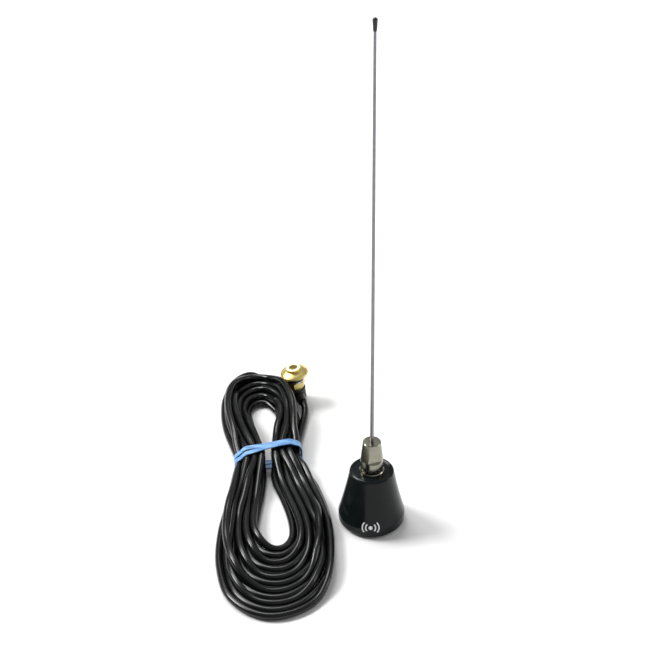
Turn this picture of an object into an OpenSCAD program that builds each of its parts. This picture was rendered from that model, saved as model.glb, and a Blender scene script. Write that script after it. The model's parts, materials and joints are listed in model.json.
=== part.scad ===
// Mobile whip antenna with its roof mount and a hank of coaxial cable.
// Millimetres, +Z up. The origin is the centre of the base's seat plane and +Z runs up the whip.
// The unscrewed roof mount stands beside the antenna, with its cable tied in a hank.

/* [Whip] */
// Diameter of the whip where the ferrule grips it
whip_d = 2.5; // [2:0.1:2.8]
// Diameter of the whip at its top
whip_tip_d = 1.8; // [1.2:0.1:2]
// Height of the whip's top end above the seat plane
whip_top = 370; // [250:1:600]
// Length of the soft cap on the whip's end
cap_len = 8.5; // [6:0.5:12]
// Diameter of the soft cap
cap_d = 3.2; // [3:0.1:5]

/* [Ferrule] */
// Diameter of the ferrule's top face
ferrule_top_d = 11.6; // [10:0.1:13]
// Diameter of the ferrule's ring
ferrule_d = 15.2; // [14:0.1:16]
// Height of the ferrule
ferrule_h = 22.2; // [20:0.1:24]
// Height of the plain ring under the wrench flats
ferrule_ring_h = 8.5; // [7:0.5:10]
// Distance across the wrench flats
ferrule_flats = 11.8; // [11:0.1:12.5]
// Direction that the front wrench flat faces, degrees from +X
flat_angle = -72; // [-90:1:-60]
// Diameter of the washer under the ferrule
washer_d = 16.8; // [16:0.1:18]
// Nominal diameter of the ferrule's thread, 5/16 inch
ferrule_thread_d = 7.94; // [7.5:0.01:8]
// Diameter of the two set screws
set_screw_d = 3; // [2.5:0.5:3]

/* [Base] */
// Widest diameter of the base
base_d = 44.8; // [42:0.2:48]
// Diameter of the base at its shoulder
shoulder_d = 30; // [28:0.2:32]
// Height of the base's rim
base_h = 42.2; // [42:0.2:43]
// Wall thickness of the housing
wall = 2.4; // [2:0.1:2.6]
// Diameter of the recess that takes the mount's head
recess_d = 25; // [23:0.5:26]
// Depth of the recess from the seat plane
recess_depth = 10; // [10:0.5:11]
// Nominal diameter of the base stud's thread, M6
base_thread_d = 6; // [5:1:6]
// Number of turns of the loading coil
coil_turns = 6; // [3:1:7]
// Diameter of the coil's wire
coil_wire_d = 1.5; // [0.8:0.1:1.6]

/* [Roof mount] */
// Diameter of the mount's head
head_d = 20.4; // [19:0.1:21]
// Height of the mount's head
head_h = 8.3; // [7:0.1:9]
// Diameter of the threaded shank, M10
shank_d = 10; // [9:0.5:10]
// Distance across the clamp nut's flats
nut_flats = 12; // [11.5:0.5:13]
// Travel of the clamp nut down the shank
nut_travel = 2; // [1:0.5:2]
// Angle by which the mount leans as it stands
mount_lean = 8; // [0:1:9]

/* [Cable] */
// Diameter of the coaxial cable
cable_d = 5; // [4:0.1:5.4]
// Width of the hank at the tie
waist_w = 44.6; // [40:0.2:48]
// Height of the hank at the tie
waist_h = 17.5; // [16:0.5:20]
// Height of the hank's two loops
loop_h = 15; // [12:0.5:16]
// Width of the rubber band
band_w = 7; // [4:0.5:8]
// Thickness of the rubber band
band_t = 1.2; // [0.8:0.1:1.4]

/* [Hidden] */
$fn = 64;

eps = 0.01;
// Clearance between pieces that move past each other without being a fit
gap = 0.3;
// Radial clearance of a running fit
run = 0.05;

// Heights in the antenna, from the seat plane upwards
gasket_t = 2;
rim_z = 0.4;
plate_t = 2.5;
cup_wall = 2;
cup_top_t = 2.5;
cup_top_z = recess_depth + cup_top_t;
face_z = base_h - 0.6;
roof_t = 2.6;
roof_z = face_z - roof_t;
washer_t = 1.6;
ferrule_z = face_z + washer_t + gap;
ferrule_top_z = ferrule_z + ferrule_h;
stud_top_z = ferrule_z + 8;
whip_z = stud_top_z + 2.2;
whip_bore_z = whip_z - gap;

// Radii of the housing's skirt and of what stands inside it
skirt_r = base_d / 2;
shoulder_r = shoulder_d / 2;
skirt_z = 8;
skirt_fillet = 3;
gasket_r = skirt_r - wall - 0.7;
gasket_in_r = recess_d / 2 + 2;
screw_ring_r = 16.8;
boss_r = 2;
boss_h = 14;
pilot_r = 1.25;
screw_angles = [90, 210, 330];

// Studs, nuts, tags and the coil
ferrule_bore_r = ferrule_thread_d / 2;
top_stud_r = ferrule_bore_r - run;
stud_flange_r = 7;
stud_flange_t = 2.4;
tag_t = 0.6;
tag_reach = 12;
base_stud_r = base_thread_d / 2 - run;
base_stud_z = 1.5;
stud_hex_t = 2;
inner_thread_r = 3;
nut_h = 3.5;
nut_across = 10;
former_z = cup_top_z;
former_top_z = roof_z - stud_flange_t - tag_t;
former_r = 9.6;
former_in_r = 7.2;
former_flange_r = 11.6;
former_flange_t = 1.4;
coil_r = former_r + coil_wire_d / 2 + run;
coil_margin = 3;

// The washer's collar stands in a counterbore in the ferrule's foot
collar_r = 5.2;
collar_h = 1.8;
counterbore_r = collar_r + 0.4;
counterbore_h = 2.1;
flat_slope = 35;

// Screws that hold the plate
screw_r = 1.2;
screw_len = 7;
screw_head_r = 2.2;
screw_head_h = 1.4;

// Set screws stand on the rear wrench flat
set_screw_z = [ferrule_z + 13.2, ferrule_z + 17.6];
set_screw_r = set_screw_d / 2;
set_screw_tip = whip_d / 2 + gap;
set_screw_end = ferrule_flats / 2 - 0.3;
socket_key = 1.5;

// The roof mount's own stack, measured up its axis from the boot's foot
mount_x = -50;
mount_y = 137.7;
mount_z = 1;
boot_h = 9.5;
boot_d = 12;
boot_foot_r = 1.5;
shank_z = boot_h - 3;
nut_z = boot_h + nut_travel + gap;
clamp_nut_h = 4;
clamp_nut_turned = 20;
lock_z = nut_z + clamp_nut_h + gap;
lock_t = 0.8;
seal_z = lock_z + lock_t + gap;
seal_t = 1.8;
head_z = seal_z + seal_t;
head_top_z = head_z + head_h;
socket_d = base_thread_d;
socket_depth = 7;
socket_r = 3.7;
insulator_r = 5.2;
insulator_z = head_top_z - socket_depth - 1;
socket_z = insulator_z + 0.5;
wire_r = 0.6;
crimp_r = 2.9;
crimp_in_r = 2;
crimp_h = 1.5;
sleeve_z = 4.2;
sleeve_len = 13;
sleeve_turn = 15;

// The hank's own frame: its middle is under the rubber band
hank_x = -71;
hank_y = 57;
hank_turn = 6;
loop_gap = 6;
waist_len = 40;
waist_r = 6;
upper_loop = [-4.6, 74.3, 24.9];
lower_loop = [-5.5, -122, 40.5];

// Route of the free cable from the boot to the hank
cable_r = cable_d / 2;
lead_route = [[-46.6, 125.2, 5.6], [-45.9, 122, 5.1], [-45.6, 118, 4.3], [-46, 113, 3.4],
    [-46.9, 107, 2.8], [-48, 100, 2.6], [-49.1, 93, 2.6], [-50.1, 86, 2.8], [-50.6, 80, 3.2]];
cable_sides = 8;

// The cable's stripped end leaves the back of the upper loop along its tangent
end_angle = 120;
end_z = 2.6;
braid_r = 1.85;
dielectric_r = 1.48;
conductor_r = 0.45;
braid_len = 5;
dielectric_len = 10;
conductor_len = 16;

// Points of a circular arc from angle a to angle b
function arc(c, r, a, b, n = 10) =
    [for (i = [0 : n]) c + r * [cos(a + (b - a) * i / n), sin(a + (b - a) * i / n)]];

// Outline of a rectangle of width w between heights z0 and z1 with corner radius r
function round_box(w, z0, z1, r) = concat(
    arc([w / 2 - r, z0 + r], r, -90, 0), arc([w / 2 - r, z1 - r], r, 0, 90),
    arc([-w / 2 + r, z1 - r], r, 90, 180), arc([-w / 2 + r, z0 + r], r, 180, 270));

// One ring of a tube that follows a route: centre p, direction d
function ring(p, d, r, sides) =
    let (u = d / norm(d), side = cross(u, [0, 0, 1]), s = side / norm(side), t = cross(s, u))
    [for (k = [0 : sides - 1]) p + r * (cos(360 * k / sides) * s + sin(360 * k / sides) * t)];

// Direction of a route at its point i
function heading(route, i) = route[min(i + 1, len(route) - 1)] - route[max(i - 1, 0)];

// A tube swept along a route
module sweep(route, r, sides) {
    n = len(route);
    points = [for (i = [0 : n - 1]) each ring(route[i], heading(route, i), r, sides)];
    around = [for (i = [0 : n - 2]) for (k = [0 : sides - 1])
        [i * sides + k, i * sides + (k + 1) % sides, (i + 1) * sides + (k + 1) % sides,
        (i + 1) * sides + k]];
    first = [for (k = [sides - 1 : -1 : 0]) k];
    last = [for (k = [0 : sides - 1]) (n - 1) * sides + k];
    polyhedron(points, concat([first], around, [last]), convexity = 4);
}

// A ring between two radii and two heights
module tube(r_out, r_in, z0, z1) {
    difference() {
        translate([0, 0, z0]) cylinder(r = r_out, h = z1 - z0);
        translate([0, 0, z0 - 1]) cylinder(r = r_in, h = z1 - z0 + 2);
    }
}

// A hexagonal nut with a plain bore
module hex_nut(flats, bore_r, z0, h) {
    difference() {
        translate([0, 0, z0]) cylinder(d = flats / cos(30), h = h, $fn = 6);
        translate([0, 0, z0 - 1]) cylinder(r = bore_r, h = h + 2);
    }
}

// A ring terminal with an ear that reaches out along +X
module solder_tag(bore_r, z0) {
    difference() {
        union() {
            translate([0, 0, z0]) cylinder(r = bore_r + 2.4, h = tag_t);
            translate([0, -1.5, z0]) cube([tag_reach, 3, tag_t]);
        }
        translate([0, 0, z0 - 1]) cylinder(r = bore_r, h = tag_t + 2);
    }
}

// The roof mount stands on its boot and leans
module on_mount() {
    translate([mount_x, mount_y, mount_z]) rotate([0, -mount_lean, 0]) children();
}

// The hank lies turned on the surface
module on_hank() {
    translate([hank_x, hank_y, 0]) rotate(hank_turn) children();
}

// Whip: straight where the ferrule grips it, then tapered
module whip_rod() {
    color("silver") {
        translate([0, 0, whip_z]) cylinder(d = whip_d, h = ferrule_top_z - whip_z + 2);
        translate([0, 0, ferrule_top_z + 2])
            cylinder(d1 = whip_d, d2 = whip_tip_d, h = whip_top - ferrule_top_z - 2);
    }
}

module whip_tip_cap() {
    cap_r = cap_d / 2;
    cap_z = whip_top - cap_len + 2;
    color("black") difference() {
        rotate_extrude() polygon(concat([[0, cap_z], [cap_r * 0.72, cap_z]],
            arc([0, whip_top + 2 - cap_r], cap_r, 0, 90)));
        translate([0, 0, cap_z - 1]) cylinder(d = whip_tip_d + 0.15, h = cap_len - 1);
    }
}

// Outline of the ferrule, from the axis round its bottom edge to its top edge
function ferrule_outline() = concat(
    [[0, ferrule_z]], arc([ferrule_d / 2 - 1.4, ferrule_z + 1.4], 1.4, -90, 0),
    [[ferrule_d / 2, ferrule_z + ferrule_ring_h], [ferrule_top_d / 2 + 0.25, ferrule_top_z - 0.3],
    [ferrule_top_d / 2 - 0.1, ferrule_top_z], [0, ferrule_top_z]]);

module ferrule_body() {
    flat_h = ferrule_h - ferrule_ring_h + 1;
    color("gainsboro") difference() {
        rotate_extrude() polygon(ferrule_outline());
        for (side = [0, 180]) rotate(flat_angle + side)
            translate([ferrule_flats / 2, -ferrule_d, ferrule_z + ferrule_ring_h]) {
                cube([ferrule_d, 2 * ferrule_d, flat_h]);
                rotate([0, flat_slope, 0]) cube([ferrule_d, 2 * ferrule_d, ferrule_d / 2]);
            }
        translate([0, 0, whip_bore_z]) cylinder(r = whip_d / 2 + run, h = ferrule_h);
        translate([0, 0, ferrule_z - 1]) cylinder(r = ferrule_bore_r, h = stud_top_z - ferrule_z + 1.5);
        translate([0, 0, ferrule_z - 1]) cylinder(r = counterbore_r, h = counterbore_h + 1);
        for (z = set_screw_z) translate([0, 0, z]) rotate([0, 90, flat_angle + 180])
            cylinder(r = set_screw_r + run, h = ferrule_d);
    }
}

// A socket set screw at height z, pointing at the whip
module set_screw(z) {
    color("dimgray") translate([0, 0, z]) rotate([0, 90, flat_angle + 180]) difference() {
        translate([0, 0, set_screw_tip]) cylinder(r = set_screw_r, h = set_screw_end - set_screw_tip);
        translate([0, 0, set_screw_end - socket_key])
            cylinder(d = socket_key / cos(30), h = socket_key + 1, $fn = 6);
    }
}

// Washer with a collar that stays in the ferrule's foot
module ferrule_washer() {
    edge = 0.5;
    color("silver") difference() {
        union() {
            rotate_extrude() polygon([[0, face_z], [washer_d / 2, face_z],
                [washer_d / 2, face_z + washer_t - edge], [washer_d / 2 - edge, face_z + washer_t],
                [0, face_z + washer_t]]);
            translate([0, 0, face_z + washer_t - eps]) cylinder(r = collar_r, h = collar_h);
        }
        translate([0, 0, face_z - 1])
            cylinder(r = ferrule_bore_r + gap, h = washer_t + collar_h + 2);
    }
}

// Flank of the housing: a straight cone that is drawn in a little at its middle
function flank(inset) = [for (i = [0 : 12]) let (t = i / 12)
    [skirt_r - inset - (skirt_r - shoulder_r) * t - 0.35 * sin(180 * t),
    skirt_z + (base_h - 1.6 - skirt_z) * t]];

function housing_outline() = concat(
    [[0, rim_z], [skirt_r - wall, rim_z]],
    arc([skirt_r - skirt_fillet, rim_z + skirt_fillet], skirt_fillet, -90, 0), flank(0),
    arc([shoulder_r - 1.6, base_h - 1.6], 1.6, 15, 90, 6),
    [[shoulder_r - 3.2, face_z], [0, face_z]]);

module base_housing() {
    boss_z = gasket_t + plate_t;
    color([0.05, 0.05, 0.055]) {
        difference() {
            rotate_extrude() polygon(housing_outline());
            rotate_extrude() polygon(concat([[0, rim_z - 1], [skirt_r - wall, rim_z - 1]],
                [for (p = flank(wall)) if (p[1] < roof_z) p],
                [[shoulder_r - wall + 0.6, roof_z], [0, roof_z]]));
            translate([0, 0, roof_z - 1]) cylinder(r = ferrule_bore_r, h = 10);
        }
        for (a = screw_angles) rotate(a) translate([screw_ring_r, 0, boss_z]) difference() {
            intersection() {
                cylinder(r = boss_r, h = boss_h);
                translate([-screw_ring_r, 0, 0]) cylinder(r = skirt_r - wall + 0.5, h = boss_h);
            }
            translate([0, 0, -1]) cylinder(r = pilot_r, h = screw_len + 2);
        }
    }
}

// Stud that carries the ferrule, with its flange under the housing's roof
module top_stud() {
    color("goldenrod") {
        translate([0, 0, roof_z]) cylinder(r = top_stud_r, h = stud_top_z - roof_z);
        translate([0, 0, roof_z - stud_flange_t]) cylinder(r = stud_flange_r, h = stud_flange_t);
        translate([0, 0, former_top_z - nut_h - 1]) cylinder(r = inner_thread_r - run,
            h = nut_h + 1 + tag_t + eps);
    }
}

module top_stud_nut() {
    color("goldenrod") hex_nut(nut_across, inner_thread_r, former_top_z - nut_h, nut_h);
}

module top_solder_tag() {
    color("lightgray") solder_tag(inner_thread_r, former_top_z);
}

// Bobbin with a notch in each flange for the wire
module coil_former() {
    color("ivory") difference() {
        union() {
            tube(former_r, former_in_r, former_z, former_top_z);
            tube(former_flange_r, former_in_r, former_z, former_z + former_flange_t);
            tube(former_flange_r, former_in_r, former_top_z - former_flange_t, former_top_z);
        }
        translate([former_r, -1.6, former_z - 1]) cube([5, 3.2, former_top_z - former_z + 2]);
        translate([0, -1.8, former_z - 1]) cube([20, 3.6, 1 + tag_t + 0.2]);
    }
}

// Route of the wire: up through a notch, round the former, up to the top tag
function coil_route() = let (z0 = former_z + coil_margin, z1 = former_top_z - coil_margin,
        steps = 24 * coil_turns)
    concat([[coil_r, 0, former_z + tag_t], [coil_r, 0, z0 - 1]],
        [for (i = [1 : steps - 1]) let (a = 360 * i / 24)
            [coil_r * cos(a), coil_r * sin(a), z0 + (z1 - z0) * i / steps]],
        [[coil_r, 0, z1 + 1], [coil_r, 0, former_top_z]]);

// The wire turns about the vertical, so its rings are built on the radial direction
function coil_ring(p, d, r) =
    let (u = d / norm(d), out = [p[0], p[1], 0], o = out - (out * u) * u, s = o / norm(o),
        t = cross(u, s))
    [for (k = [0 : 5]) p + r * (cos(60 * k) * s + sin(60 * k) * t)];

module coil_winding() {
    route = coil_route();
    n = len(route);
    points = [for (i = [0 : n - 1]) each coil_ring(route[i],
        (i == 0 || i == n - 1) ? [0, 0, 1] : heading(route, i), coil_wire_d / 2)];
    around = [for (i = [0 : n - 2]) for (k = [0 : 5])
        [(i + 1) * 6 + k, (i + 1) * 6 + (k + 1) % 6, i * 6 + (k + 1) % 6, i * 6 + k]];
    ends = [[for (k = [0 : 5]) k], [for (k = [5 : -1 : 0]) (n - 1) * 6 + k]];
    color("peru") polyhedron(points, concat(around, ends), convexity = 8);
}

// Plate that closes the housing and forms the recess for the mount's head
module base_plate() {
    cup_r = recess_d / 2 + cup_wall;
    color("dimgray") difference() {
        union() {
            translate([0, 0, gasket_t]) cylinder(r = skirt_r - wall - 0.1, h = plate_t);
            translate([0, 0, gasket_t]) cylinder(r = cup_r, h = cup_top_z - gasket_t);
        }
        cylinder(d = recess_d, h = recess_depth);
        cylinder(r = inner_thread_r + 0.1, h = cup_top_z + 1);
        for (a = screw_angles) rotate(a) translate([screw_ring_r, 0, 0]) {
            cylinder(r = screw_r + 0.2, h = gasket_t + plate_t + 1);
            cylinder(r = screw_head_r + 0.2, h = gasket_t + screw_head_h);
        }
    }
}

// Three screws that hold the plate in the housing
module base_screws() {
    color("silver") for (a = screw_angles) rotate(a) translate([screw_ring_r, 0, gasket_t]) {
        difference() {
            cylinder(r = screw_head_r, h = screw_head_h);
            translate([-2, -0.25, -1]) cube([4, 0.5, 1.6]);
        }
        translate([0, 0, screw_head_h - eps]) cylinder(r = screw_r, h = screw_len);
    }
}

// Stud that screws into the mount's socket
module base_stud() {
    color("goldenrod") {
        translate([0, 0, base_stud_z]) cylinder(r = base_stud_r, h = recess_depth - base_stud_z);
        translate([0, 0, recess_depth - stud_hex_t])
            cylinder(d = nut_across / cos(30), h = stud_hex_t, $fn = 6);
        translate([0, 0, recess_depth - eps]) cylinder(r = inner_thread_r - run,
            h = cup_top_t + tag_t + nut_h + 1);
    }
}

module base_stud_nut() {
    color("goldenrod") hex_nut(nut_across, inner_thread_r, cup_top_z + tag_t, nut_h);
}

module base_solder_tag() {
    color("lightgray") solder_tag(inner_thread_r, cup_top_z);
}

module base_gasket() {
    color([0.1, 0.1, 0.1]) tube(gasket_r, gasket_in_r, 0, gasket_t);
}

// Brass head and shank in one piece, bored for the insulator
function head_outline() = let (rim_r = head_d / 2, low = head_z + 2.8)
    concat([[0, shank_z], [shank_d / 2, shank_z], [shank_d / 2, head_z], [6.4, head_z],
        [rim_r - 1, low - 0.6]], arc([rim_r - 1.1, low + 0.4], 1.1, -40, 50, 6),
        arc([0, head_z - 7.8], 14.9, 50, 69, 8), [[5.6, head_top_z], [0, head_top_z]]);

module mount_head() {
    color("goldenrod") on_mount() difference() {
        rotate_extrude() polygon(head_outline());
        translate([0, 0, insulator_z]) cylinder(r = insulator_r, h = 20);
        translate([0, 0, shank_z - 1]) cylinder(r = crimp_in_r, h = 20);
    }
}

module mount_insulator() {
    color("ivory") on_mount() difference() {
        translate([0, 0, insulator_z]) cylinder(r = insulator_r, h = head_top_z - insulator_z);
        translate([0, 0, socket_z]) cylinder(r = socket_r, h = 20);
        translate([0, 0, shank_z]) cylinder(r = wire_r, h = 20);
    }
}

module mount_socket() {
    color("gold") on_mount() difference() {
        translate([0, 0, socket_z]) cylinder(r = socket_r, h = head_top_z - socket_z);
        translate([0, 0, head_top_z - socket_depth]) cylinder(d = socket_d, h = socket_depth + 1);
    }
}

module mount_seal_ring() {
    color([0.08, 0.08, 0.08]) on_mount() tube(5.9, shank_d / 2, seal_z, head_z);
}

module mount_lock_washer() {
    color("silver") on_mount() tube(6.2, shank_d / 2 + run, lock_z, lock_z + lock_t);
}

module mount_clamp_nut() {
    color("goldenrod") on_mount() rotate(clamp_nut_turned)
        hex_nut(nut_flats, shank_d / 2 + run, nut_z, clamp_nut_h);
}

// Crimped sleeve that joins the cable's braid to the shank
module crimp_sleeve() {
    color("goldenrod") on_mount() tube(crimp_r, crimp_in_r, shank_z - crimp_h, shank_z);
}

// Rubber boot with a side sleeve for the cable
module strain_boot() {
    color([0.07, 0.07, 0.08]) on_mount() difference() {
        union() {
            rotate_extrude() polygon(concat([[0, 0]],
                arc([boot_d / 2 - boot_foot_r, boot_foot_r], boot_foot_r, -90, 0),
                [[boot_d / 2, boot_h - 2], [boot_d / 2 + 0.25, boot_h - 1.6],
                [boot_d / 2 + 0.25, boot_h - 0.4], [boot_d / 2 - 0.2, boot_h], [0, boot_h]]));
            translate([0, 0, sleeve_z]) rotate([90, 0, sleeve_turn])
                cylinder(r1 = 4, r2 = 3.3, h = sleeve_len);
        }
        translate([0, 0, shank_z]) cylinder(d = shank_d, h = 10);
        translate([0, 0, shank_z - crimp_h]) cylinder(r = crimp_r, h = 10);
        translate([0, 0, sleeve_z]) rotate([90, 0, sleeve_turn])
            translate([0, 0, sleeve_len - 3]) cylinder(r = cable_r, h = 10);
    }
}

module cable_lead() {
    color([0.06, 0.06, 0.07]) sweep(lead_route, cable_r, cable_sides);
}

// Outline of one loop of the hank: an arc that runs in to the waist
function loop_outline(c, from, to) = arc([c[0], c[1]], c[2], from, to, 32);

// The hank's outer shape: two loops and the waist that the band grips
module cable_hank() {
    half = waist_w / 2;
    color([0.06, 0.06, 0.07]) on_hank() {
        linear_extrude(loop_h) polygon(concat([[half, loop_gap]],
            loop_outline(upper_loop, -8, 193), [[-half, loop_gap]]));
        linear_extrude(loop_h) polygon(concat([[half, -loop_gap], [-half, -loop_gap]],
            loop_outline(lower_loop, 168, 375)));
        translate([0, waist_len / 2, 0]) rotate([90, 0, 0]) linear_extrude(waist_len)
            polygon(round_box(waist_w, band_t, waist_h, waist_r));
    }
}

module rubber_band() {
    color("steelblue") on_hank() translate([0, band_w / 2, 0]) rotate([90, 0, 0])
        linear_extrude(band_w) difference() {
            polygon(round_box(waist_w + 2 * band_t, 0, waist_h + band_t, waist_r + band_t));
            polygon(round_box(waist_w, band_t, waist_h, waist_r));
        }
}

// The stripped end starts on the upper loop's outline
module on_cable_end() {
    on_hank() translate([upper_loop[0], upper_loop[1], end_z]) rotate(end_angle)
        translate([upper_loop[2], 0, 0]) rotate([90, 0, 0]) children();
}

module cable_end_braid() {
    color("silver") on_cable_end() tube(braid_r, dielectric_r, 0, braid_len);
}

module cable_end_dielectric() {
    color("white") on_cable_end() tube(dielectric_r, conductor_r, 0, dielectric_len);
}

module cable_end_conductor() {
    color("peru") on_cable_end() cylinder(r = conductor_r, h = conductor_len);
}

whip_rod();
whip_tip_cap();
ferrule_body();
set_screw(set_screw_z[1]);  // set_screw_upper
set_screw(set_screw_z[0]);  // set_screw_lower
ferrule_washer();
base_housing();
top_stud();
top_stud_nut();
top_solder_tag();
coil_former();
coil_winding();
base_plate();
base_screws();
base_stud();
base_stud_nut();
base_solder_tag();
base_gasket();
mount_head();
mount_insulator();
mount_socket();
mount_seal_ring();
mount_lock_washer();
mount_clamp_nut();
crimp_sleeve();
strain_boot();
cable_lead();
cable_hank();
rubber_band();
cable_end_braid();
cable_end_dielectric();
cable_end_conductor();
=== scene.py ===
"""Looks of a mobile whip antenna, its roof mount and the coaxial cable tied in a hank."""
import json
import math

import bmesh
import bpy
import numpy as np
from mathutils import Matrix, Vector


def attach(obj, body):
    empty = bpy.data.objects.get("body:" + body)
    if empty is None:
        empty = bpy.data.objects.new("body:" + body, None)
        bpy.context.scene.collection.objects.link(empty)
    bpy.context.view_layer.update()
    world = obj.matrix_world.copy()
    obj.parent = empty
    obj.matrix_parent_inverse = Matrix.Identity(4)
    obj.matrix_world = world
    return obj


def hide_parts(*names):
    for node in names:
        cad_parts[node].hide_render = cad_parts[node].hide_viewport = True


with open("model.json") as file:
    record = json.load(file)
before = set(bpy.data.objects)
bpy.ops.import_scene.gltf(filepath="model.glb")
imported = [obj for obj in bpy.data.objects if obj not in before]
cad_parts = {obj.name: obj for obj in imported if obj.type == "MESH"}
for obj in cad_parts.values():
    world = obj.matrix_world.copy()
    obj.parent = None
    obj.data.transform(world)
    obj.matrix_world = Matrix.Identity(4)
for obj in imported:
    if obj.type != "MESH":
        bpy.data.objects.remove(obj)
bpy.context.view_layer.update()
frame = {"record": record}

MM = 0.001

# The hank's own frame lies turned on the floor: its middle is under the rubber band
HANK_AT = Vector((-71 * MM, 57 * MM, 0))
HANK_TURN = math.radians(6)
CABLE_R = 2.5 * MM
# Spacing of the points with which the cable is laid, and of those it is drawn with
CABLE_STEP = 3 * MM
DRAWN_STEP = 1.6 * MM

# The free cable from the boot to the hank
LEAD_ROUTE = [
    (-46.6, 125.2, 5.6), (-45.9, 122, 5.1), (-45.4, 118, 4.3), (-45.6, 113, 3.4), (-46.3, 107, 2.8),
    (-47.2, 100, 2.6), (-48.3, 93, 2.6), (-49.3, 86, 2.8), (-50.2, 80, 3.2)]

# Lines of the innermost and the outermost turn in the hank's frame, in millimetres: the lower
# loop from the right of the waist to its left, and the upper loop from its left to its right
LOW_INNER = [(5.4, -30), (9.6, -56), (11, -72), (8.2, -84), (1.5, -91.5), (-5.5, -91.5),
             (-11.6, -85.5), (-14.2, -75), (-13.4, -56), (-8.8, -30)]
LOW_OUTER = [(30, -32), (35.4, -66), (34.6, -96), (28.5, -127), (12, -150), (-14.5, -156.5),
             (-36.2, -137.5), (-41.8, -107), (-38.6, -72), (-28, -32)]
TOP_INNER = [(-5.6, 20), (-8.8, 38), (-11.4, 52), (-9.6, 63), (-3.6, 70), (4.2, 71.2),
             (11, 65.5), (13.6, 54.5), (11, 38), (6.6, 20)]
TOP_OUTER = [(-22.6, 20), (-26.3, 42), (-26.4, 63), (-22.4, 82), (-12.5, 96.8), (0.5, 101.5),
             (10.8, 91), (19, 73.5), (23.4, 46), (21.4, 20)]

# The stripped end lies on the floor under the upper loop, at this place and heading this way
END_ROUTE = [(-23, 20), (-26.6, 42), (-27, 62), (-24.4, 80)]
CABLE_END = np.array((-17.05, 95.86, 2.6))
END_HEADING = np.array((0.866, 0.5, 0))
STRIPPED = 16

# Place of each turn from the inside (0) to the outside, in the order in which it was wound:
# the even places lie on the floor and the odd ones in the grooves between them
RIGHT_RANK = [10, 8, 6, 4, 2, 0, 1, 3, 5, 7, 9]
LEFT_RANK = [8, 6, 4, 2, 0, 1, 3, 5, 7, 9, 10]
# How far out each turn passes the bottom of the lower loop and the top of the upper one
BOTTOM_AT = [0.9, 0.72, 0.52, 0.31, 0.1, 0, 0.2, 0.42, 0.8, 0.62, 0.98]
TOP_AT = [0.98, 0.78, 0.55, 0.3, 0.04, 0.16, 0.4, 0.6, 0.86, 0.74]
# Layer of each place at the waist, where every three places share a column
WAIST_LAYER = [0, 2, 1, 1, 0, 2, 0, 2, 1, 1, 0]
OUTERMOST = max(RIGHT_RANK)
# From this point of the lower loop on, the last turn lies on the floor
LAST_FLAT_FROM = 6

# Four columns on each side of the waist stand over the band's lower run: the first one's place,
# from one to the next, and half the length that is held there, in millimetres
BAND_T = 1.2
SLOT_X = 4.8
SLOT_Z = BAND_T + 2.5
SLOT_STEP = 5
WAIST_HALF = 2

# When the turns are first stacked, points with no more steps than this between them along the
# cable don't count as lying on each other
NEAR_ALONG = 8
# What makes up for the shrinking of a curve that is evened out
SWELL = 0.53

# The band is doubled: two flat runs of rubber side by side, slanting across the waist. They are
# parted this far from their middle, by more at the left and by less at the right of the top
BAND_RUN = 4.1 * MM
BAND_THICK = 0.85 * MM
BAND_GAP = 0.05 * MM
BAND_SLANT = 0.2
BAND_AT = 1.6 * MM
BAND_PARTED = 2.35
BAND_OPENS = 0.6
BAND_CLOSES = 0.65
# Height of its waves, its lean towards the lap, how far it stays above the floor, and by how much
# more the cable above it does
BAND_WAVE = 0.2 * MM
BAND_TILT = 0.1
BAND_OFF_FLOOR = 0.02 * MM
BAND_CLEAR = 0.1 * MM
BAND_POINTS = 220


# ---------------------------------------------------------------- view, light and floor

# The camera is in front of the object and looks down on it, turned a little about its axis
CAMERA_AT = (-0.0319, -0.99451, 0.8398)
CAMERA_PITCH = math.radians(34.3)
CAMERA_ROLL = math.radians(0.6)
CAMERA_LENS = 106.05
SENSOR_WIDTH = 36

# A wide sun from the left, with softboxes high behind on the left and low on the right
LIT_AT = (-0.05, 0.03, 0.03)
SUN_FROM = (-1.05, 0.35, 1.1)
SUN_POWER = 3.3
SUN_WIDTH = math.radians(24)
SOFTBOXES = [("top", (-0.4, 0.85, 1.45), (0.9, 0.6), 15),
             ("side", (0.9, 0.1, 0.5), (0.3, 0.7), 2)]

# The walls are dark on the left and pale on the right, with a paler strip along the horizon
# that carries the floor on
WALL_POWER = 0.43
WALL_TURN = math.radians(-5)
WALL_DARK = (0.1, 0.105, 0.12, 1)
WALL_PALE = (1, 1, 1, 1)
WALL_RAMP = (0.12, 0.65)
HORIZON = (2.1, 2.1, 2.1, 1)
HORIZON_FADE = (0.03, 0.1)

# Half the floor's side and how far the camera sees, in metres, and how far below the object
# the floor lies
FLOOR_HALF = 60
SIGHT = 200
FLOOR_GAP = 0.2 * MM


def camera():
    right = Vector((1, 0, 0))
    up = Vector((0, math.sin(CAMERA_PITCH), math.cos(CAMERA_PITCH)))
    back = right.cross(up)
    turned_right = right * math.cos(CAMERA_ROLL) - up * math.sin(CAMERA_ROLL)
    turned_up = up * math.cos(CAMERA_ROLL) + right * math.sin(CAMERA_ROLL)
    data = bpy.data.cameras.new("camera")
    data.sensor_width = SENSOR_WIDTH
    data.lens = CAMERA_LENS
    data.clip_end = SIGHT
    cam = bpy.data.objects.new("camera", data)
    rotation = Matrix((turned_right, turned_up, back)).transposed().to_4x4()
    cam.matrix_world = Matrix.Translation(CAMERA_AT) @ rotation
    bpy.context.collection.objects.link(cam)
    bpy.context.scene.camera = cam


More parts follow.
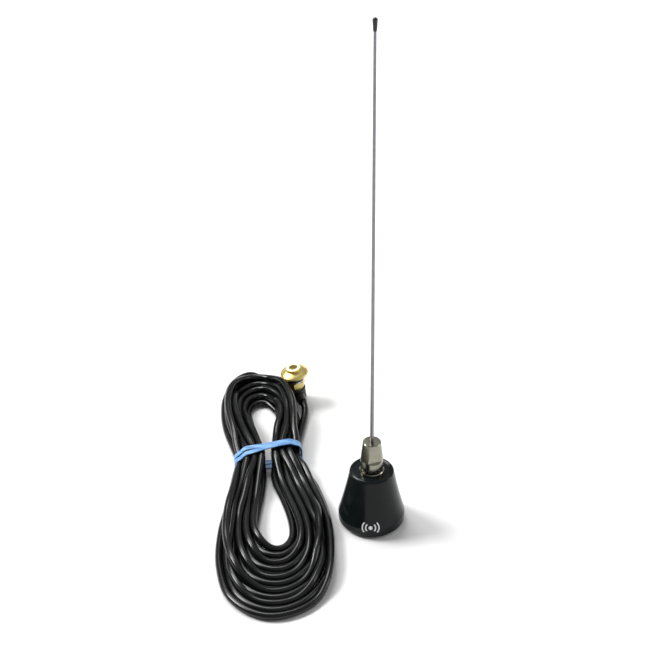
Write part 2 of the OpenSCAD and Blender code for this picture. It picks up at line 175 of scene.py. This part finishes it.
def softbox(name, place, size, power):
    data = bpy.data.lights.new(name, "AREA")
    data.shape = "RECTANGLE"
    data.size, data.size_y = size
    data.energy = power
    light = bpy.data.objects.new(name, data)
    light.location = place
    light.rotation_euler = (Vector(LIT_AT) - Vector(place)).to_track_quat("-Z", "Y").to_euler()
    bpy.context.collection.objects.link(light)


def lights():
    data = bpy.data.lights.new("window", "SUN")
    data.energy, data.angle = SUN_POWER, SUN_WIDTH
    window = bpy.data.objects.new("window", data)
    window.rotation_euler = Vector(SUN_FROM).to_track_quat("Z", "Y").to_euler()
    bpy.context.collection.objects.link(window)
    for box in SOFTBOXES:
        softbox(*box)


def walls():
    """What the object reflects: a world that goes from dark to pale along X."""
    world = bpy.data.worlds.new("studio")
    world.use_nodes = True
    nodes, links = world.node_tree.nodes, world.node_tree.links
    background = nodes["Background"]
    background.inputs["Strength"].default_value = WALL_POWER
    direction = nodes.new("ShaderNodeTexCoord")
    turned = nodes.new("ShaderNodeMapping")
    turned.inputs["Rotation"].default_value[2] = WALL_TURN
    parts = nodes.new("ShaderNodeSeparateXYZ")
    spread = nodes.new("ShaderNodeMapRange")
    spread.inputs["From Min"].default_value = -1
    ramp = nodes.new("ShaderNodeValToRGB")
    for element, position, colour in zip(ramp.color_ramp.elements, WALL_RAMP, (WALL_DARK, WALL_PALE)):
        element.position, element.color = position, colour
    links.new(direction.outputs["Generated"], turned.inputs["Vector"])
    links.new(turned.outputs["Vector"], parts.inputs[0])
    links.new(parts.outputs["X"], spread.inputs["Value"])
    links.new(spread.outputs["Result"], ramp.inputs["Fac"])
    horizon = nodes.new("ShaderNodeMapRange")
    horizon.inputs["From Min"].default_value, horizon.inputs["From Max"].default_value = HORIZON_FADE
    horizon.inputs["To Min"].default_value = 1
    horizon.inputs["To Max"].default_value = 0
    mixed = nodes.new("ShaderNodeMixRGB")
    mixed.inputs["Color2"].default_value = HORIZON
    links.new(parts.outputs["Z"], horizon.inputs["Value"])
    links.new(horizon.outputs["Result"], mixed.inputs["Fac"])
    links.new(ramp.outputs["Color"], mixed.inputs["Color1"])
    links.new(mixed.outputs["Color"], background.inputs["Color"])
    bpy.context.scene.world = world
    bpy.context.scene.view_settings.view_transform = "Standard"


def floor():
    mesh = bpy.data.meshes.new("floor")
    half = FLOOR_HALF
    mesh.from_pydata([(-half, -half, 0), (half, -half, 0), (half, half, 0), (-half, half, 0)],
                     [], [(0, 1, 2, 3)])
    obj = bpy.data.objects.new("floor", mesh)
    bpy.context.collection.objects.link(obj)
    obj.location.z = -FLOOR_GAP
    obj.data.materials.append(floor_paint())


# ---------------------------------------------------------------- materials

# Noise mostly stays between these, so a colour or a roughness goes from low to high over them
COLOUR_SPAN = (0.3, 0.7)
ROUGH_SPAN = (0.25, 0.75)


class Paint:
    """A node material in the making: one Principled shader and what feeds it."""

    def __init__(self, name, colour, metallic=0.0, roughness=0.5, **sockets):
        self.material = bpy.data.materials.new(name)
        self.material.use_nodes = True
        self.nodes = self.material.node_tree.nodes
        self.links = self.material.node_tree.links
        self.shader = self.nodes["Principled BSDF"]
        self.colour = colour
        self.set("Base Color", (*colour, 1))
        self.set("Metallic", metallic)
        self.set("Roughness", roughness)
        for socket, value in sockets.items():
            self.set(socket.replace("_", " "), value)
        self.bump = None

    def set(self, socket, value):
        self.shader.inputs[socket].default_value = value

    def node(self, kind, **values):
        made = self.nodes.new(kind)
        for name, value in values.items():
            if name in made.inputs.keys():
                made.inputs[name].default_value = value
            else:
                setattr(made, name, value)
        return made

    def place(self, scale=(1, 1, 1), origin=(0, 0, 0), lean=0.0):
        """Object coordinates seen from origin, leaned about Y and scaled."""
        coords = self.node("ShaderNodeTexCoord")
        moved = self.node("ShaderNodeMapping", vector_type="TEXTURE")
        moved.inputs["Location"].default_value = origin
        moved.inputs["Rotation"].default_value = (0, lean, 0)
        scaled = self.node("ShaderNodeMapping")
        scaled.inputs["Scale"].default_value = scale
        self.links.new(coords.outputs["Object"], moved.inputs["Vector"])
        self.links.new(moved.outputs["Vector"], scaled.inputs["Vector"])
        return scaled.outputs["Vector"]

    def noise(self, at, scale, detail=3.0):
        made = self.node("ShaderNodeTexNoise", Scale=scale, Detail=detail)
        self.links.new(at, made.inputs["Vector"])
        return made.outputs["Fac"]

    def vary_colour(self, fac, low, high):
        """Mixes two colours by fac; a number stands for that gain on the paint's own colour."""
        ramp = self.node("ShaderNodeValToRGB")
        for element, position, gain in zip(ramp.color_ramp.elements, COLOUR_SPAN, (low, high)):
            tone = [min(1, c * gain) for c in self.colour] if isinstance(gain, (int, float)) else gain
            element.position, element.color = position, (*tone, 1)
        self.links.new(fac, ramp.inputs["Fac"])
        self.links.new(ramp.outputs["Color"], self.shader.inputs["Base Color"])

    def vary_roughness(self, fac, low, high):
        made = self.node("ShaderNodeMapRange")
        made.inputs["From Min"].default_value, made.inputs["From Max"].default_value = ROUGH_SPAN
        made.inputs["To Min"].default_value = low
        made.inputs["To Max"].default_value = high
        self.links.new(fac, made.inputs["Value"])
        self.links.new(made.outputs["Result"], self.shader.inputs["Roughness"])

    def raise_by(self, fac, height):
        """Adds relief: fac times height, in metres."""
        made = self.node("ShaderNodeBump", Strength=1.0, Distance=height)
        self.links.new(fac, made.inputs["Height"])
        if self.bump:
            self.links.new(self.bump, made.inputs["Normal"])
        self.bump = made.outputs["Normal"]
        self.links.new(self.bump, self.shader.inputs["Normal"])

    def thread(self, at, pitch, depth, ranges):
        """Cuts a helical thread round the axis between the heights in ranges."""
        parts = self.node("ShaderNodeSeparateXYZ")
        self.links.new(at, parts.inputs[0])
        x, y, z = (parts.outputs[k] for k in range(3))
        angle = self.maths("DIVIDE", self.maths("ARCTAN2", y, x), 2 * math.pi)
        turn = self.maths("FRACT", self.maths("SUBTRACT", self.maths("DIVIDE", z, pitch), angle))
        from_middle = self.maths("ABSOLUTE", self.maths("SUBTRACT", turn, 0.5))
        groove = self.maths("MULTIPLY", from_middle, 2)
        inside = 0.0
        for low, high in ranges:
            above = self.maths("GREATER_THAN", z, low)
            below = self.maths("LESS_THAN", z, high)
            inside = self.maths("ADD", self.maths("MULTIPLY", above, below), inside)
        self.raise_by(self.maths("MULTIPLY", groove, inside), depth)

    def maths(self, operation, a, b=None):
        """Output of a maths node; a and b are numbers or other outputs."""
        made = self.node("ShaderNodeMath", operation=operation)
        for socket, value in zip(made.inputs, (a, b)):
            if isinstance(value, (int, float)):
                socket.default_value = value
            elif value is not None:
                self.links.new(value, socket)
        return made.outputs[0]


def floor_paint():
    paint = Paint("floor", (0.83, 0.83, 0.825), roughness=0.9)
    paint.vary_colour(paint.noise(paint.place(), 6), 0.995, 1.005)
    return paint.material


def metal(name, colour, roughness, turned, grain=2500, scratch=2e-6, origin=(0, 0, 0), lean=0.0,
          thread=()):
    """Metal with machining marks: round the axis where turned, along it where drawn."""
    paint = Paint(name, colour, metallic=1.0, roughness=roughness)
    stretch = (0.02, 0.02, 1) if turned else (1, 1, 0.01)
    marks = paint.noise(paint.place(stretch, origin, lean), grain, 4)
    blotch = paint.noise(paint.place((1, 1, 1), origin, lean), 260, 3)
    paint.vary_colour(blotch, 0.90, 1.06)
    paint.vary_roughness(marks, roughness * 0.75, roughness * 1.35)
    paint.raise_by(marks, scratch)
    if thread:
        paint.thread(paint.place((1, 1, 1), origin, lean), *thread)
    return paint.material


def plastic(name, colour, roughness, grain=900, relief=1.5e-6, variation=0.12, **sockets):
    """Moulded plastic or rubber: a fine grain and wide, faint smudges."""
    paint = Paint(name, colour, roughness=roughness, **sockets)
    at = paint.place()
    paint.vary_colour(paint.noise(at, grain * 0.2, 2), 1 - variation, 1 + variation)
    paint.vary_roughness(paint.noise(at, 70, 3), roughness * 0.85, roughness * 1.2)
    paint.raise_by(paint.noise(at, grain * 2, 3), relief)
    return paint.material


def stretched_rubber(name, colour, light, roughness, **sockets):
    """Stretched rubber: pale and dark streaks and fine creases along its run, which is along X."""
    paint = Paint(name, colour, roughness=roughness, **sockets)
    streaks = paint.noise(paint.place((0.12, 1, 1)), 620, 3)
    paint.vary_colour(streaks, colour, light)
    paint.vary_roughness(streaks, roughness * 0.8, roughness * 1.3)
    paint.raise_by(streaks, 0.12 * MM)
    return paint.material


# The mount leans on its boot: the foot of its axis, and how far the axis leans
MOUNT_FOOT = (-50 * MM, 137.7 * MM, 1 * MM)
MOUNT_LEAN = math.radians(-8)

# Threads: pitch, depth and the heights between which each is cut, with a gap at a nut or flange
BASE_THREAD = (1 * MM, 0.5 * MM, ((0, 7.9 * MM), (10.2 * MM, 18 * MM)))
TOP_THREAD = (1.06 * MM, 0.5 * MM, ((20 * MM, 36 * MM), (39.2 * MM, 52 * MM)))
MOUNT_THREAD = (1 * MM, 0.45 * MM, ((6 * MM, 18.9 * MM),))

BRASS = (0.68, 0.56, 0.21)

PAINTS = {
    "whip_steel": metal("whip_steel", (0.25, 0.235, 0.26), 0.34, False, 3000),
    "cap_black": plastic("cap_black", (0.012, 0.012, 0.012), 0.42),
    "nickel": metal("nickel", (0.28, 0.27, 0.215), 0.19, True, 2600, 0.7e-6),
    "dark_steel": metal("dark_steel", (0.10, 0.10, 0.11), 0.4, False, 3000),
    "housing_black": plastic("housing_black", (0.006, 0.0085, 0.009), 0.17, 500, 1e-6, 0.1,
                             Specular_IOR_Level=0.19),
    "brass": metal("brass", BRASS, 0.24, True, 2400, 1.5e-6),
    "base_stud": metal("base_stud", BRASS, 0.24, True, 2400, 1.5e-6,
                       thread=BASE_THREAD),
    "top_stud": metal("top_stud", BRASS, 0.24, True, 2400, 1.5e-6,
                      thread=TOP_THREAD),
    "mount_head": metal("mount_head", BRASS, 0.36, True, 2400, 2e-6, MOUNT_FOOT, MOUNT_LEAN,
                        thread=MOUNT_THREAD),
    "mount_brass": metal("mount_brass", BRASS, 0.34, True, 2400, 2e-6, MOUNT_FOOT, MOUNT_LEAN),
    "mount_socket": metal("mount_socket", (0.78, 0.72, 0.50), 0.45, False, 2400, 2e-6),
    "tinned": metal("tinned", (0.72, 0.71, 0.69), 0.3, False, 3000, 3e-6),
    "insulator_white": plastic("insulator_white", (0.82, 0.79, 0.66), 0.35, 1200, 1e-6, 0.05),
    "copper": metal("copper", (0.80, 0.42, 0.25), 0.28, False, 3000),
    "plate_grey": plastic("plate_grey", (0.05, 0.05, 0.055), 0.55, 2400, 6e-6, 0.2),
    "zinc_steel": metal("zinc_steel", (0.60, 0.61, 0.62), 0.3, True, 2000, 2e-6),
    "rubber_black": plastic("rubber_black", (0.018, 0.018, 0.02), 0.42, 1800, 4e-6, 0.15),
    "cable_black": plastic("cable_black", (0.0042, 0.0048, 0.0044), 0.23, 900, 0.2e-6, 0.15,
                           Specular_IOR_Level=0.36),
    "band_blue": stretched_rubber("band_blue", (0.055, 0.17, 0.42), (0.25, 0.48, 0.78), 0.36,
                                  Subsurface_Weight=0.15, Subsurface_Scale=0.001),
    "dielectric_white": plastic("dielectric_white", (0.80, 0.80, 0.76), 0.4, 1500, 1e-6, 0.04),
    "print_white": plastic("print_white", (0.85, 0.87, 0.88), 0.4, 1500, 1e-6, 0.04),
}


def dress_cad():
    """Gives every shown CAD node the material of its slot in the record."""
    for part in frame["record"]["subparts"]:
        obj = bpy.data.objects.get(part["node"])
        if obj is None:
            continue
        slot = part["material_slot"]
        if part["node"] in PAINTS:
            slot = part["node"]
        elif slot == "brass" and part["node"].startswith("mount"):
            slot = "mount_brass"
        if not obj.material_slots:
            obj.data.materials.append(None)
        for place in obj.material_slots:
            place.material = PAINTS[slot]


def made(name, mesh, slot):
    """An object from a bmesh, painted and riding on the root."""
    data = bpy.data.meshes.new(name)
    mesh.to_mesh(data)
    mesh.free()
    data.materials.append(PAINTS[slot])
    obj = bpy.data.objects.new(name, data)
    bpy.context.collection.objects.link(obj)
    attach(obj, "root")
    return obj


# ---------------------------------------------------------------- the cable

def ease(a):
    """From 0 to 1 as a goes from 0 to 1, starting and ending slowly."""
    a = min(max(a, 0.0), 1.0)
    return a * a * (3 - 2 * a)


def waist_slot(rank):
    """Distance from the middle and height of a place at the waist, in millimetres."""
    return SLOT_X + SLOT_STEP * min(rank // 3, 3), SLOT_Z + SLOT_STEP * WAIST_LAYER[rank]


def half_turn(inner, outer, first, middle, last, flat_from=math.inf):
    """Plan points of half a turn that changes its place from first over middle to last.

    From the point numbered flat_from on it lies on the floor.
    """
    points = []
    for k, (a, b) in enumerate(zip(inner, outer)):
        along = (k + 1) / (len(inner) + 1)
        t = first + (middle - first) * ease(along / 0.5) + (last - middle) * ease(along / 0.5 - 1)
        z = CABLE_R / MM if k >= flat_from else math.nan
        points.append((a[0] + (b[0] - a[0]) * t, a[1] + (b[1] - a[1]) * t, z))
    return points


def cable_points():
    """The cable's points in the hank's frame; a height that isn't known yet is nan."""
    cos, sin = math.cos(HANK_TURN), math.sin(HANK_TURN)
    points = []
    for x, y, z in LEAD_ROUTE:
        dx, dy = x - HANK_AT.x / MM, y - HANK_AT.y / MM
        points.append((cos * dx + sin * dy, cos * dy - sin * dx, z))
    for i, (from_right, to_left) in enumerate(zip(RIGHT_RANK, LEFT_RANK)):
        a, b = from_right / OUTERMOST, to_left / OUTERMOST
        x, z = waist_slot(from_right)
        points += [(x, y, z) for y in (WAIST_HALF, -WAIST_HALF)]
        flat_from = LAST_FLAT_FROM if i + 1 == len(RIGHT_RANK) else math.inf
        points += half_turn(LOW_INNER, LOW_OUTER, a, BOTTOM_AT[i], b, flat_from)
        x, z = waist_slot(to_left)
        points += [(-x, y, z) for y in (-WAIST_HALF, WAIST_HALF)]
        if i + 1 < len(RIGHT_RANK):
            c = RIGHT_RANK[i + 1] / OUTERMOST
            points += half_turn(TOP_INNER, TOP_OUTER, b, TOP_AT[i], c)
    points += [(x, y, CABLE_END[2]) for x, y in END_ROUTE]
    points.append(tuple(CABLE_END))
    return np.array(points) * MM


def through(points, step, beyond=None):
    """Evenly spaced points of a smooth curve through the given ones, and each given one's index."""
    fine = 24
    if beyond is None:
        beyond = 2 * points[-1] - points[-2]
    p = np.vstack([2 * points[0] - points[1], points, beyond])
    spans = []
    for i in range(1, len(p) - 2):
        a, b, c, d = p[i - 1:i + 3]
        t1 = math.sqrt(np.linalg.norm(b - a))
        t2 = t1 + math.sqrt(np.linalg.norm(c - b))
        t3 = t2 + math.sqrt(np.linalg.norm(d - c))
        t = np.linspace(t1, t2, fine, endpoint=False)[:, None]
        ab = (t1 - t) / t1 * a + t / t1 * b
        bc = (t2 - t) / (t2 - t1) * b + (t - t1) / (t2 - t1) * c
        cd = (t3 - t) / (t3 - t2) * c + (t - t2) / (t3 - t2) * d
        first = (t2 - t) / t2 * ab + t / t2 * bc
        second = (t3 - t) / (t3 - t1) * bc + (t - t1) / (t3 - t1) * cd
        spans.append((t2 - t) / (t2 - t1) * first + (t - t1) / (t2 - t1) * second)
    line = np.vstack([*spans, p[-2:-1]])
    at = np.concatenate([[0], np.cumsum(np.linalg.norm(np.diff(line, axis=0), axis=1))])
    count = max(2, round(at[-1] / step))
    wanted = np.linspace(0, at[-1], count + 1)
    index = np.rint(at[::fine] / at[-1] * count).astype(int)
    return np.stack([np.interp(wanted, at, line[:, k]) for k in range(line.shape[1])], axis=1), index


def smoothed(values, held, times, back=0.0):
    """Evens values out; with back the overall shape keeps its size."""
    for k in range(times):
        gain = 0.5 if k % 2 == 0 or not back else -back
        new = values.copy()
        new[1:-1] += gain * (0.5 * (values[:-2] + values[2:]) - values[1:-1])
        new[held] = values[held]
        values = new
    return values


def stacked(plan, known, skip, tail):
    """First heights: each stretch lies, pressed in by half, on what was laid before it."""
    held = ~np.isnan(known)
    heights = np.where(held, known, CABLE_R)
    order = np.arange(len(plan))
    order[-tail:] -= len(plan) + skip
    chunk = 50
    for a in range(chunk, len(plan) - tail, chunk):
        b = min(len(plan) - tail, a + chunk)
        apart = ((plan[a:b, None] - plan[None]) ** 2).sum(-1)
        later = order[a:b, None] - order[None]
        over = (apart < (2 * CABLE_R) ** 2) & (later > skip)
        lift = 0.5 * np.sqrt(np.maximum((2 * CABLE_R) ** 2 - apart, 0))
        top = np.where(over, heights[None] + lift, CABLE_R).max(1)
        heights[a:b] = np.where(held[a:b], known[a:b], top)
    return heights


def crossings(x, reach, skip):
    """Pairs of points of the cable that lie within reach of each other in plan."""
    found = []
    chunk = 300
    for a in range(0, len(x), chunk):
        d = x[a:a + chunk, None, :2] - x[None, :, :2]
        i, j = np.nonzero(d[..., 0] ** 2 + d[..., 1] ** 2 < reach ** 2)
        i += a
        keep = j - i > skip
        found.append(np.stack([i[keep], j[keep]]))
    return np.concatenate(found, axis=1)


def settled(x, held):
    """The cable as it comes to rest: stiff, kept off itself and the floor, and drawn down."""
    steps, last_steps, look_every = 260, 30, 8
    reach_on, skip = 2 * MM, 4
    bend_rounds, push_rounds = 6, 3
    pitch = 2 * CABLE_R * 1.008
    sink, pull, stiffness, give = 0.05 * MM, 0.04, 0.06, 0.05
    slip = (0.4, 0.4, 1)
    home = x[:, :2].copy()
    free = ~held
    weight = free.astype(float)
    rest = np.linalg.norm(np.diff(x, axis=0), axis=1)
    number = np.arange(len(x))
    for step in range(steps):
        if step % look_every == 0:
            pairs = crossings(x, pitch + reach_on, skip)
        settling = step < steps - last_steps
        if settling:
            x[free, 2] -= sink
            x[free, :2] += pull * (home[free] - x[free, :2])
        for _ in range(bend_rounds if settling else 1):
            turn = x[:-2] - 2 * x[1:-1] + x[2:]
            change = np.zeros_like(x)
            change[2:-2] = turn[:-2] - 2 * turn[1:-1] + turn[2:]
            x[free] -= stiffness * change[free]
        rest += give * (np.linalg.norm(np.diff(x, axis=0), axis=1) - rest)
        for start in (0, 1):
            b = number[start + 1::2]
            a = b - 1
            push = contact(x[b] - x[a], rest[a], weight[a] + weight[b])
            x[a] -= push * weight[a, None]
            x[b] += push * weight[b, None]
        for _ in range(push_rounds):
            a, b = pairs
            apart = np.linalg.norm(x[b] - x[a], axis=1)
            a, b = a[apart < pitch], b[apart < pitch]
            push = contact(x[b] - x[a], pitch, weight[a] + weight[b])
            touches = np.bincount(a, minlength=len(x)) + np.bincount(b, minlength=len(x))
            share = 1 / np.maximum(1, 0.5 * touches)
            for k in range(3):
                moved = np.bincount(b, push[:, k] * weight[b], len(x))
                moved -= np.bincount(a, push[:, k] * weight[a], len(x))
                x[:, k] += moved * share * slip[k]
            x[free, 2] = np.maximum(x[free, 2], CABLE_R)
    return x


def contact(gap, wanted, weight):
    """How far each end moves along gap so that its length becomes wanted."""
    length = np.maximum(np.linalg.norm(gap, axis=1), 1e-9)
    weight = np.where(weight == 0, 1, weight)
    return ((wanted - length) / length / weight)[:, None] * gap


def cable_line():
    """The whole cable's centre line in the frame of the part."""
    points = cable_points()
    known = ~np.isnan(points[:, 2])
    flat = np.column_stack([points[:, :2], np.zeros(len(points))])
    last_stretch = 8
    ahead = flat[-1] + END_HEADING * last_stretch * MM
    line, index = through(flat, CABLE_STEP, ahead)
    heights = np.full(len(line), math.nan)
    for k in range(len(points) - 1):
        if known[k] and known[k + 1]:
            a, b = index[k], index[k + 1]
            heights[a:b + 1] = np.linspace(points[k, 2], points[k + 1, 2], b - a + 1)
    last_points = len(LOW_INNER) - LAST_FLAT_FROM + 2 + len(END_ROUTE) + 1
    tail = len(line) - index[-last_points]
    held = ~np.isnan(heights)
    kept = held.copy()
    plan_rounds, height_rounds, last_rounds = 80, 8, 4
    plan = smoothed(line[:, :2], held, plan_rounds, SWELL)

    # The stripped end is in the way of the turns as well
    count = round(STRIPPED * MM / CABLE_STEP)
    stripped = plan[-1] + np.outer(np.arange(1, count + 1), END_HEADING[:2]) * CABLE_STEP
    plan = np.vstack([plan, stripped])
    heights = np.concatenate([heights, np.full(count, CABLE_END[2] * MM)])
    held = ~np.isnan(heights)
    tall = smoothed(stacked(plan, heights, NEAR_ALONG, tail + count), held, height_rounds)
    x = settled(np.column_stack([plan, tall]), held)[:-count]
    x = smoothed(x, kept, last_rounds, SWELL)
    cos, sin = math.cos(HANK_TURN), math.sin(HANK_TURN)
    return np.column_stack([HANK_AT.x + cos * x[:, 0] - sin * x[:, 1],
                            HANK_AT.y + sin * x[:, 0] + cos * x[:, 1], x[:, 2]])


def cable(centre_line):
    line, _ = through(centre_line, DRAWN_STEP)
    curve = bpy.data.curves.new("coaxial_cable", "CURVE")
    curve.dimensions = "3D"
    curve.bevel_depth = CABLE_R
    curve.bevel_resolution = 4
    curve.use_fill_caps = True
    spline = curve.splines.new("POLY")
    spline.points.add(len(line) - 1)
    spline.points.foreach_set("co", np.column_stack([line, np.ones(len(line))]).ravel())
    spline.use_smooth = True
    curve.materials.append(PAINTS["cable_black"])
    obj = bpy.data.objects.new("coaxial_cable", curve)
    bpy.context.collection.objects.link(obj)
    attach(obj, "root")
    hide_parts("cable_lead", "cable_hank")
    return obj


# ---------------------------------------------------------------- the rubber band

def waist_outline(line):
    """Hull of the cable's cross-sections under the band, anticlockwise in the hank's frame."""
    cos, sin = math.cos(HANK_TURN), math.sin(HANK_TURN)
    x, y = line[:, 0] - HANK_AT.x, line[:, 1] - HANK_AT.y
    across, along = cos * x + sin * y, cos * y - sin * x
    sides, half_width = 48, 4 * MM
    near = np.abs(along - BAND_AT - BAND_SLANT * across) < half_width
    turn = np.linspace(0, 2 * math.pi, sides, endpoint=False)
    ring = np.column_stack([np.cos(turn), np.sin(turn)]) * (CABLE_R + BAND_GAP)
    cloud = (np.column_stack([across[near], line[near, 2]])[:, None] + ring[None]).reshape(-1, 2)
    cloud[:, 1] = np.maximum(cloud[:, 1], BAND_THICK + BAND_CLEAR)
    points = sorted(map(tuple, np.round(cloud, 7)))
    hull = []
    for sweep in (points, points[::-1]):
        side = []
        for p in sweep:
            while len(side) > 1 and turns_right(side[-2], side[-1], p):
                side.pop()
            side.append(p)
        hull += side[:-1]
    return np.array(hull)


def turns_right(a, b, c):
    """Whether the way from a over b to c turns right or goes straight on."""
    return (b[0] - a[0]) * (c[1] - a[1]) - (b[1] - a[1]) * (c[0] - a[0]) <= 0


def evened(loop, count):
    """A closed loop's points at even spacing, with its corners eased."""
    closed = np.vstack([loop, loop[:1]])
    at = np.concatenate([[0], np.cumsum(np.linalg.norm(np.diff(closed, axis=0), axis=1))])
    wanted = np.linspace(0, at[-1], count, endpoint=False)
    even = np.column_stack([np.interp(wanted, at, closed[:, k]) for k in range(2)])
    rounds = 6
    for _ in range(rounds):
        even = 0.5 * even + 0.25 * (np.roll(even, 1, 0) + np.roll(even, -1, 0))
    return even


def flat_profile(width, thick):
    """Rounded cross-section of a flat rubber run, from its inner face outwards."""
    r = thick * 0.38
    corner_steps = 3
    points = []
    for cx, cy, start in ((width / 2 - r, r, -90), (width / 2 - r, thick - r, 0),
                          (r - width / 2, thick - r, 90), (r - width / 2, r, 180)):
        for step in range(corner_steps + 1):
            a = math.radians(start + 90 / corner_steps * step)
            points.append((cx + r * math.cos(a), cy + r * math.sin(a)))
    return points


def band(line):
    """A doubled rubber band: two flat runs that part at the left and lap at the right."""
    loop = evened(waist_outline(line), BAND_POINTS)
    tangent = np.roll(loop, -1, 0) - np.roll(loop, 1, 0)
    tangent /= np.linalg.norm(tangent, axis=1)[:, None]
    normal = np.column_stack([tangent[:, 1], -tangent[:, 0]])
    half = np.abs(loop[:, 0]).max()
    top = loop[:, 1].max()
    mesh = bmesh.new()
    profile = flat_profile(BAND_RUN, BAND_THICK)
    cos, sin = math.cos(HANK_TURN), math.sin(HANK_TURN)
    for side in (-1, 1):
        rings = []
        for k, (p, n) in enumerate(zip(loop, normal)):
            # From -1 at the left to 1 at the right, and from 0 on the floor to 1 on top
            right = p[0] / half
            above = ease((p[1] / top - 0.35) / 0.5)
            spread = BAND_OPENS * ease(-right * 1.6 - 0.4) - BAND_CLOSES * ease(right * 1.2 + 0.9)
            parted = (BAND_PARTED + spread * above) * MM
            lapped = above * ease(right * 1.4 + 0.9) * (BAND_THICK * 0.9 if side < 0 else 0)
            wave = BAND_WAVE * math.sin(5 * math.pi * k / len(loop) + side)
            tilt = above * BAND_TILT * side * ease(right + 0.8)
            ring = []
            for u, v in profile:
                out = lapped + v + u * tilt
                x, z = p[0] + n[0] * out, max(p[1] + n[1] * out, BAND_OFF_FLOOR)
                y = BAND_AT + side * parted + wave * above + u
                y += BAND_SLANT * p[0] * (0.35 + 0.65 * above)
                place = (HANK_AT.x + cos * x - sin * y, HANK_AT.y + sin * x + cos * y, z)
                ring.append(mesh.verts.new(place))
            rings.append(ring)
        for a, b in zip(rings, rings[1:] + rings[:1]):
            for j in range(len(profile)):
                q = (j + 1) % len(profile)
                mesh.faces.new((a[j], a[q], b[q], b[j])).smooth = True
    bmesh.ops.recalc_face_normals(mesh, faces=mesh.faces)
    obj = made("rubber_band_doubled", mesh, "band_blue")
    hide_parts("rubber_band")
    return obj


# ---------------------------------------------------------------- the mark on the housing

# The mark's middle: its angle round the housing, and its height
MARK_AT, MARK_Z = math.radians(-93), 9.5 * MM
MARK_LIFT = 0.06 * MM
MARK_INK = 0.04 * MM
# Its strokes, in millimetres and degrees: from one radius to another, about an angle, this wide
MARK_STROKES = [(0, 1.4, 0, 360), (2.9, 3.8, 0, 92), (5.2, 6.1, 0, 80),
                (2.9, 3.8, 180, 92), (5.2, 6.1, 180, 80)]

# The housing's flank: the radius at its foot, where it starts to narrow, by how much, how far up,
# and how far it is hollowed in between
FLANK_FOOT_R = 22.4 * MM
FLANK_FOOT_Z = 8 * MM
FLANK_TAPER = 7.4 * MM
FLANK_HEIGHT = 32.6 * MM
FLANK_HOLLOW = 0.35 * MM


def flank_radius(z):
    """Radius of the housing at a height, in metres."""
    t = max(0, (z - FLANK_FOOT_Z) / FLANK_HEIGHT)
    return FLANK_FOOT_R - FLANK_TAPER * t - FLANK_HOLLOW * math.sin(math.pi * t)


def on_flank(u, v):
    """Place on the housing that is u round it and v up from the middle of the mark."""
    z = MARK_Z + v
    r = flank_radius(z) + MARK_LIFT
    angle = MARK_AT + u / flank_radius(MARK_Z)
    return r * math.cos(angle), r * math.sin(angle), z


def mark():
    """A generic sign for radio: a dot with waves on both sides of it."""
    mesh = bmesh.new()
    segments = 14
    for inner, outer, middle, spread in MARK_STROKES:
        rows = []
        for k in range(segments + 1):
            a = math.radians(middle - spread / 2 + spread * k / segments)
            rows.append([mesh.verts.new(on_flank(r * MM * math.cos(a), r * MM * math.sin(a)))
                         for r in (inner, (inner + outer) / 2, outer)])
        for a, b in zip(rows, rows[1:]):
            for j in range(2):
                mesh.faces.new((a[j], b[j], b[j + 1], a[j + 1]))
    bmesh.ops.remove_doubles(mesh, verts=mesh.verts, dist=0.005 * MM)
    for face in mesh.faces:
        face.normal_update()
        middle = face.calc_center_median()
        if face.normal.x * middle.x + face.normal.y * middle.y < 0:
            face.normal_flip()
    obj = made("radio_mark", mesh, "print_white")
    ink = obj.modifiers.new("ink", "SOLIDIFY")
    ink.thickness, ink.offset = MARK_INK, -1
    return obj


camera()
centre_line = cable_line()
cable(centre_line)
band(centre_line)
mark()
lights()
walls()
floor()
dress_cad()
